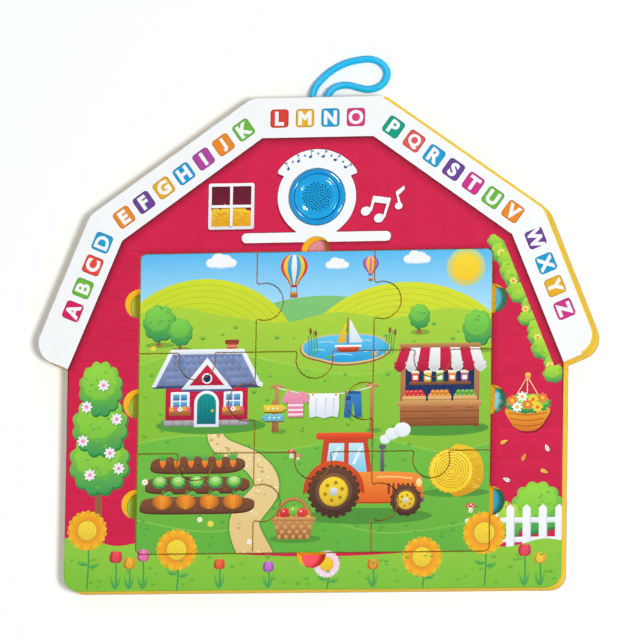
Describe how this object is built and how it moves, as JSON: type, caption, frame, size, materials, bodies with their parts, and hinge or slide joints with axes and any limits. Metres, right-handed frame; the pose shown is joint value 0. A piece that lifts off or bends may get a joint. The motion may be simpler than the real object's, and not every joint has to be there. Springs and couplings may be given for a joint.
{
  "type": "musical puzzle",
  "caption": "Barn-shaped foam picture puzzle tray with interlocking lift-out pieces, finger notches, a press-to-play sound button and a cord handle.",
  "frame": {"origin": "middle of the tray's outline, on the surface that its back lies on", "axes": "+X to the right and +Y towards the ridge, seen from the printed face; +Z out of the printed face"},
  "size_m": [0.3634, 0.3476, 0.0196],
  "materials": {
    "printed_foam": "EVA foam with a printed gloss film on its face; the cut edges are bare yellow foam",
    "piece_print": "EVA foam with a printed gloss film on its face; the cut edges are bare yellow foam",
    "floor_print": "printed film on the window's floor",
    "backing_board": "plain white hard foam board",
    "cord": "round braided cord",
    "button_blue": "gloss, moulded",
    "bezel_blue": "gloss, moulded",
    "housing_plastic": "satin, moulded",
    "plated_steel": "plated",
    "magnet": "matt",
    "speaker_paper": "matt paper",
    "circuit_green": "lacquered",
    "chip_black": "satin",
    "wire_red": "smooth",
    "wire_black": "smooth"
  },
  "bodies": {
    "tray": {"front_frame": "printed_foam", "back_board": "backing_board", "floor_picture": "floor_print", "cord_loop": "cord", "cord_end_left": "cord", "cord_end_right": "cord", "sound_bezel": "bezel_blue", "cap_return_spring": "plated_steel", "module_housing": "housing_plastic", "housing_screw_1": "plated_steel", "housing_screw_2": "plated_steel", "housing_screw_3": "plated_steel", "housing_screw_4": "plated_steel", "speaker_magnet": "magnet", "speaker_basket": "plated_steel", "speaker_cone": "speaker_paper", "circuit_board": "circuit_green", "sound_chip": "chip_black", "tact_switch": "chip_black", "button_cell_left": "plated_steel", "button_cell_middle": "plated_steel", "button_cell_right": "plated_steel", "contact_positive": "plated_steel", "contact_negative": "plated_steel", "contact_bridge_inner": "plated_steel", "battery_wire_red": "wire_red", "battery_wire_black": "wire_black", "speaker_wire_red": "wire_red", "speaker_wire_black": "wire_black"},
    "button": {"press_cap": "button_blue"},
    "door": {"battery_door": "housing_plastic", "contact_bridge_door": "plated_steel"},
    "screw": {"door_screw": "plated_steel"},
    "piece_top_left": {"piece_top_left": "piece_print"},
    "piece_top_centre": {"piece_top_centre": "piece_print"},
    "piece_top_right": {"piece_top_right": "piece_print"},
    "piece_middle_left": {"piece_middle_left": "piece_print"},
    "piece_middle_centre": {"piece_middle_centre": "piece_print"},
    "piece_middle_right": {"piece_middle_right": "piece_print"},
    "piece_bottom_left": {"piece_bottom_left": "piece_print"},
    "piece_bottom_centre": {"piece_bottom_centre": "piece_print"},
    "piece_bottom_right": {"piece_bottom_right": "piece_print"}
  },
  "joints": [
    {"name": "button_press", "type": "slide", "parent": "tray", "child": "button", "axis": [0, 0, -1], "range_m": [0, 0.0015], "stiffness_N_per_m": 800, "springref_m": -0.0004, "deforming": ["cap_return_spring"]},
    {"name": "door_lift", "type": "slide", "parent": "tray", "child": "door", "axis": [0, 0, -1], "range_m": [0, 0.02]},
    {"name": "door_screw_turn", "type": "hinge", "parent": "door", "child": "screw", "pos_m": [0.0238, 0.11645, 0.0003], "axis": [0, 0, 1], "continuous": true},
    {"name": "lift_top_left", "type": "slide", "parent": "tray", "child": "piece_top_left", "axis": [0, 0, 1], "range_m": [0, 0.04]},
    {"name": "lift_top_centre", "type": "slide", "parent": "tray", "child": "piece_top_centre", "axis": [0, 0, 1], "range_m": [0, 0.04]},
    {"name": "lift_top_right", "type": "slide", "parent": "tray", "child": "piece_top_right", "axis": [0, 0, 1], "range_m": [0, 0.04]},
    {"name": "lift_middle_left", "type": "slide", "parent": "tray", "child": "piece_middle_left", "axis": [0, 0, 1], "range_m": [0, 0.04]},
    {"name": "lift_middle_centre", "type": "slide", "parent": "tray", "child": "piece_middle_centre", "axis": [0, 0, 1], "range_m": [0, 0.04]},
    {"name": "lift_middle_right", "type": "slide", "parent": "tray", "child": "piece_middle_right", "axis": [0, 0, 1], "range_m": [0, 0.04]},
    {"name": "lift_bottom_left", "type": "slide", "parent": "tray", "child": "piece_bottom_left", "axis": [0, 0, 1], "range_m": [0, 0.04]},
    {"name": "lift_bottom_centre", "type": "slide", "parent": "tray", "child": "piece_bottom_centre", "axis": [0, 0, 1], "range_m": [0, 0.04]},
    {"name": "lift_bottom_right", "type": "slide", "parent": "tray", "child": "piece_bottom_right", "axis": [0, 0, 1], "range_m": [0, 0.04]}
  ]
}
